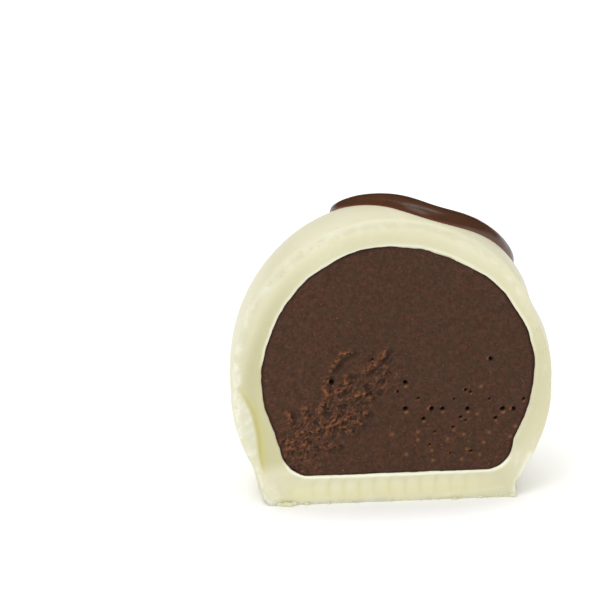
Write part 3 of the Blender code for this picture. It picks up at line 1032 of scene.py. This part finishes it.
def smooth_route(stations, spacing):
    """Points at an even spacing on a smooth curve through the stations."""
    stations = np.array(stations)
    ends = np.concatenate([stations[:1], stations, stations[-1:]])
    route = []
    for a, b, c, d in zip(ends, ends[1:], ends[2:], ends[3:]):
        count = max(2, round(float(np.linalg.norm(c[:2] - b[:2])) / spacing))
        for t in np.arange(count) / count:
            curve = 2 * b + (c - a) * t
            curve = curve + (2 * a - 5 * b + 4 * c - d) * t**2 + (3 * b - 3 * c + d - a) * t**3
            route.append(curve / 2)
    route.append(stations[-1])
    return np.array(route)


def over_dome(u, v, lift):
    """Points over the dome, by their distances over it from its top, lifted off it."""
    point = dome_point(np.hypot(u, v) / DOME_RADIUS, np.arctan2(v, u))
    outward = point - np.array([0.0, 0.0, SHOULDER_HEIGHT])
    outward /= np.linalg.norm(outward, axis=-1, keepdims=True)
    flat = unevenness(np.arctan2(v, u), point[..., 2])
    return point + outward * (np.asarray(lift) + flat)[..., None]


def make_drizzle():
    """A rounded ribbon of dark chocolate that follows the dome."""
    route = smooth_route(DRIZZLE_ROUTE, DRIZZLE_SPACING)
    u, v, half = route.T
    along = np.gradient(route[:, :2], axis=0)
    along /= np.linalg.norm(along, axis=1, keepdims=True)
    run = np.concatenate([[0.0], np.cumsum(np.hypot(np.diff(u), np.diff(v)))])
    uneven = noise_at(on_cut(run, 0.0 * run), 4.5, 21.0)
    swell = noise_at(on_cut(run, 0.0 * run), 6.5, 33.0)
    from_end = np.minimum(run, run[-1] - run)
    short = 1.0 - np.clip(from_end / DRIZZLE_END_ROUNDING, 0.0, 1.0)
    ends = np.sqrt(np.clip(1.0 - short**2, 0.0, 1.0))
    half = half * (1.0 + 0.07 * uneven) * np.maximum(ends, 0.12)
    height = DRIZZLE_HEIGHT * (half / 1.3) ** 0.5 * (1.0 + 0.12 * swell) * np.maximum(ends, 0.1)
    across = np.cos(np.linspace(0.0, math.pi, DRIZZLE_SECTION))
    crown = (1.0 - np.abs(across) ** 2.3) ** 0.62
    under = np.linspace(-0.85, 0.85, DRIZZLE_UNDERSIDE)
    offset = np.concatenate([across, under])
    lift = np.concatenate([crown, 0.0 * under])
    sunk = np.concatenate([0.0 * crown - 0.04, 0.0 * under - 0.3])
    side_u = u[:, None] + along[:, 1:2] * half[:, None] * offset
    side_v = v[:, None] - along[:, 0:1] * half[:, None] * offset
    rings = over_dome(side_u, side_v, height[:, None] * lift + sunk)
    drizzle = ring_object("drizzle", rings)
    thin = np.concatenate([np.tile(1.0 - smooth(lift / 0.36), len(route)), [1.0, 1.0]])
    set_mask(drizzle.data, "thin", thin)
    shade(drizzle, 80)
    return drizzle


def node(tree, kind, **values):
    made = tree.nodes.new(kind)
    for name, value in values.items():
        setattr(made, name, value)
    return made


def put(made, **values):
    """Sets or links a node's inputs, each named in small letters with its spaces as underscores."""
    inputs = {socket.name.lower().replace(" ", "_"): socket for socket in made.inputs}
    for name, value in values.items():
        if isinstance(value, bpy.types.NodeSocket):
            made.id_data.links.new(value, inputs[name])
        else:
            inputs[name].default_value = value


def mask(tree, name):
    return node(tree, "ShaderNodeAttribute", attribute_name=name).outputs["Fac"]


def grain(tree, size, detail, distortion=0.0, stretch=None):
    """Noise of a grain size in millimetres, fixed to the object and drawn out along the tears if asked."""
    place = node(tree, "ShaderNodeTexCoord").outputs["Object"]
    if stretch is not None:
        lean = node(tree, "ShaderNodeMapping", vector_type="TEXTURE")
        put(lean, vector=place, rotation=(0.0, -STREAK_LEAN, 0.0), scale=(stretch, 1.0, 1.0))
        place = lean.outputs["Vector"]
    texture = node(tree, "ShaderNodeTexNoise")
    put(texture, vector=place, scale=1.0 / (size * MM), detail=detail, distortion=distortion)
    return texture.outputs["Fac"]


def ramp(tree, value, low, high, start=0.0, end=1.0):
    """Maps a value from the range low to high onto start to end."""
    made = node(tree, "ShaderNodeMapRange", interpolation_type="SMOOTHSTEP")
    for name, limit in (("From Min", low), ("From Max", high), ("To Min", start), ("To Max", end)):
        made.inputs[name].default_value = limit
    tree.links.new(value, made.inputs["Value"])
    return made.outputs["Result"]


def spots(tree, size, detail, low, high, **shape):
    """Where noise of a grain size is strong, from 0 at its low value to 1 at its high one."""
    return ramp(tree, grain(tree, size, detail, **shape), low, high)


def times(tree, value, other):
    made = node(tree, "ShaderNodeMath", operation="MULTIPLY")
    tree.links.new(value, made.inputs[0])
    if isinstance(other, float):
        made.inputs[1].default_value = other
    else:
        tree.links.new(other, made.inputs[1])
    return made.outputs[0]


def mixed(tree, share, first, second):
    """Mixes two colours, given as they show on screen or as sockets."""
    made = node(tree, "ShaderNodeMix", data_type="RGBA")
    tree.links.new(share, made.inputs["Factor"])
    for name, colour in (("A", first), ("B", second)):
        socket = [i for i in made.inputs if i.name == name and i.type == "RGBA"][0]
        if isinstance(colour, tuple):
            socket.default_value = (*linear(*colour), 1.0)
        else:
            tree.links.new(colour, socket)
    return [o for o in made.outputs if o.type == "RGBA"][0]


def painted(tree, colour, *layers):
    """Paints layers over a colour: where, as a value or a mask's name, how strongly and in what colour."""
    for where, strength, paint in layers:
        if isinstance(where, str):
            where = mask(tree, where)
        colour = mixed(tree, times(tree, where, strength), colour, paint)
    return colour


def linear(red, green, blue):
    """A colour as it shows on screen, from 0 to 255, as a shader wants it."""
    parts = [value / 255 for value in (red, green, blue)]
    return tuple(p / 12.92 if p <= 0.04045 else ((p + 0.055) / 1.055) ** 2.4 for p in parts)


def new_material(name, roughness):
    material = bpy.data.materials.new(name)
    material.use_nodes = True
    tree = material.node_tree
    shader = tree.nodes["Principled BSDF"]
    put(shader, roughness=roughness)
    return material, tree, shader


def add_bump(tree, shader, height, depth, below=None):
    """Relief of a depth in millimetres, on top of any relief given."""
    bump = node(tree, "ShaderNodeBump")
    put(bump, distance=depth * MM, strength=1.0, height=height)
    if below:
        put(bump, normal=below)
    put(shader, normal=bump.outputs["Normal"])
    return bump.outputs["Normal"]


def white_chocolate():
    material, tree, shader = new_material("white_chocolate", 0.42)
    frost = mask(tree, "frost")
    clouds = spots(tree, 5.0, 2.0, 0.35, 0.65)
    frost_and_highlight_patches = times(tree, spots(tree, 1.5, 2.0, 0.42, 0.7), 0.45)
    outside = mixed(tree, clouds, WHITE_OUTSIDE, WHITE_CLOUD)
    face = painted(tree, mixed(tree, clouds, WHITE_CUT, WHITE_CUT_CLOUD), *CUT_LAYERS)
    specks = times(tree, spots(tree, 0.6, 3.0, 0.42, 0.72, stretch=1.8), frost)
    # Rim patches of frost and painted highlight, and whitish frost specks
    layers = ((frost_and_highlight_patches, mask(tree, "rim"), WHITE_PATCH_AND_HIGHLIGHT), (specks, 0.5, WHITE_PATCH_AND_HIGHLIGHT))
    colour = painted(tree, mixed(tree, mask(tree, "cut"), outside, face), *layers)
    put(shader, base_color=colour, roughness=ramp(tree, frost, 0.0, 1.0, 0.4, 0.7))
    put(shader, subsurface_weight=0.35, subsurface_radius=(1.0, 0.75, 0.4), subsurface_scale=1.2 * MM)
    put(shader, ior=1.45, specular_ior_level=0.35)
    waxy = add_bump(tree, shader, grain(tree, 1.6, 3.0), 0.03)
    fine = times(tree, grain(tree, 0.22, 3.0), ramp(tree, frost, 0.0, 1.0, 0.35, 1.0))
    add_bump(tree, shader, fine, 0.04, waxy)
    return material


def dark_chocolate():
    material, tree, shader = new_material("dark_chocolate", 0.27)
    clouds = spots(tree, 2.5, 3.0, 0.35, 0.65)
    colour = painted(tree, mixed(tree, clouds, DARK, DARK_CLOUD), ("thin", 0.8, DARK_EDGE))
    rough = ramp(tree, grain(tree, 1.2, 4.0), 0.35, 0.65, 0.24, 0.32)
    put(shader, base_color=colour, roughness=rough, ior=1.45, specular_ior_level=0.5)
    soft = add_bump(tree, shader, grain(tree, 1.8, 2.0), 0.05)
    add_bump(tree, shader, grain(tree, 0.2, 3.0), 0.006, soft)
    return material


def ganache_material():
    material, tree, shader = new_material("ganache_filling", 0.72)
    fine = spots(tree, 0.24, 2.0, 0.36, 0.64)
    some = ramp(tree, mask(tree, "speckle"), 0.0, 1.0, 0.0, 0.75)
    spread = spots(tree, 0.22, 2.0, 0.34, 0.6)
    layers = (
        (spots(tree, 0.6, 2.0, 0.46, 0.66, distortion=0.4), 0.55, GANACHE_GREY),
        (spots(tree, 0.38, 2.0, 0.54, 0.68), 0.6, GANACHE_RED),
        # painted shade in the hollows, and the same colour as dark specks over the torn zone
        ("hollow", 0.85, GANACHE_HOLLOW_SHADE),
        (spots(tree, 0.3, 2.0, 0.54, 0.66, distortion=0.3, stretch=1.8), mask(tree, "torn"), GANACHE_HOLLOW_SHADE),
        (spots(tree, 0.27, 2.0, 0.54, 0.68, distortion=0.2, stretch=2.0), some, FLECK),
        (spots(tree, 0.45, 2.0, 0.5, 0.66, distortion=0.2, stretch=1.4), mask(tree, "blots"), GANACHE_BLOT),
        (times(tree, mask(tree, "ridge"), spread), 0.95, GANACHE_CREST),
        ("tan", 0.9, GANACHE_TAN),
        ("pit", 0.9, GANACHE_PIT_SHADE),
        ("border", 0.85, GANACHE_BORDER_SHADE),
    )
    colour = painted(tree, mixed(tree, fine, GANACHE_DEEP, GANACHE), *layers)
    rough = ramp(tree, grain(tree, 0.5, 3.0), 0.35, 0.65, 0.6, 0.85)
    put(shader, base_color=colour, roughness=rough, specular_ior_level=0.15)
    coarse = add_bump(tree, shader, grain(tree, 0.5, 3.0), 0.05)
    add_bump(tree, shader, grain(tree, 0.2, 2.0), 0.035, coarse)
    return material


def bits_material(name, darker, lighter):
    material, tree, shader = new_material(name, 0.6)
    put(shader, base_color=mixed(tree, mask(tree, "shade"), darker, lighter))
    add_bump(tree, shader, grain(tree, 0.1, 2.0), 0.02)
    return material


def dress(piece, material, slot, *nodes):
    piece.data.materials.clear()
    piece.data.materials.append(material)
    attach(piece, "root")
    if nodes:
        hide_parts(*nodes)


def make_floor():
    bpy.ops.mesh.primitive_plane_add(size=FLOOR_SIZE)
    floor = bpy.context.object
    floor.name = "floor"
    material, tree, shader = new_material("floor", 0.9)
    put(shader, base_color=(FLOOR_GREY, FLOOR_GREY, FLOOR_GREY, 1.0), specular_ior_level=0.0)
    floor.data.materials.append(material)


def direction(azimuth, elevation):
    """The way from the object to a camera or light: azimuth 0 is in front, and it grows to the right."""
    level = math.cos(elevation)
    return Vector((math.sin(azimuth) * level, -math.cos(azimuth) * level, math.sin(elevation)))


def add_light(name, azimuth, elevation, distance, width, height, power):
    """A soft light that shines on the object from a direction given in degrees."""
    light = bpy.data.lights.new(name, "AREA")
    light.shape = "RECTANGLE"
    light.size = width
    light.size_y = height
    light.energy = power
    obj = bpy.data.objects.new(name, light)
    bpy.context.scene.collection.objects.link(obj)
    away = direction(math.radians(azimuth), math.radians(elevation))
    obj.location = Vector((0.0, 0.0, AIM_HEIGHT * MM)) + away * distance
    obj.rotation_euler = away.to_track_quat("Z", "Y").to_euler()


def make_lights():
    world = bpy.data.worlds.new("studio")
    world.use_nodes = True
    put(world.node_tree.nodes["Background"], color=(1.0, 1.0, 1.0, 1.0), strength=WORLD_STRENGTH)
    bpy.context.scene.world = world
    world.cycles_visibility.glossy = False
    add_light("key", -40.0, 55.0, 0.6, 0.35, 0.35, KEY_POWER)
    add_light("strip", 2.0, 97.0, 0.6, 0.7, 0.1, STRIP_POWER)


def make_camera():
    camera = bpy.data.cameras.new("camera")
    camera.lens = CAMERA_LENS
    camera.clip_start = 0.01
    obj = bpy.data.objects.new("camera", camera)
    bpy.context.scene.collection.objects.link(obj)
    back = direction(CAMERA_AZIMUTH, CAMERA_ELEVATION)
    target = Vector((0.0, 0.0, AIM_HEIGHT))
    obj.location = (target + back * CAMERA_DISTANCE) * MM
    focal = CAMERA_LENS / camera.sensor_width * FRAME_PIXELS
    left = math.atan((AIM_PIXEL[0] - FRAME_PIXELS / 2) / focal)
    up = math.atan((AIM_PIXEL[1] - FRAME_PIXELS / 2) / focal)
    turn = (-back).to_track_quat("-Z", "Y").to_matrix()
    turn = turn @ Matrix.Rotation(CAMERA_ROLL, 3, "Z")
    turn = turn @ Matrix.Rotation(left, 3, "Y") @ Matrix.Rotation(up, 3, "X")
    obj.rotation_euler = turn.to_euler()
    bpy.context.scene.camera = obj


def main():
    scene = bpy.context.scene
    scene.view_settings.view_transform = "Standard"
    make_camera()
    make_lights()
    make_floor()
    dress(make_shell(), white_chocolate(), "white_chocolate", "white_shell")
    dress(make_drizzle(), dark_chocolate(), "dark_chocolate", "white_shell")
    dress(make_ganache(), ganache_material(), "ganache_filling", "ganache")
    dress(make_flecks(), bits_material("flecks", FLECK_DARK, FLECK), "ganache_filling")
    dress(make_crumbs(), bits_material("crumbs", WHITE_CRUMB, WHITE_CRUMB_LIGHT), "white_chocolate")


main()
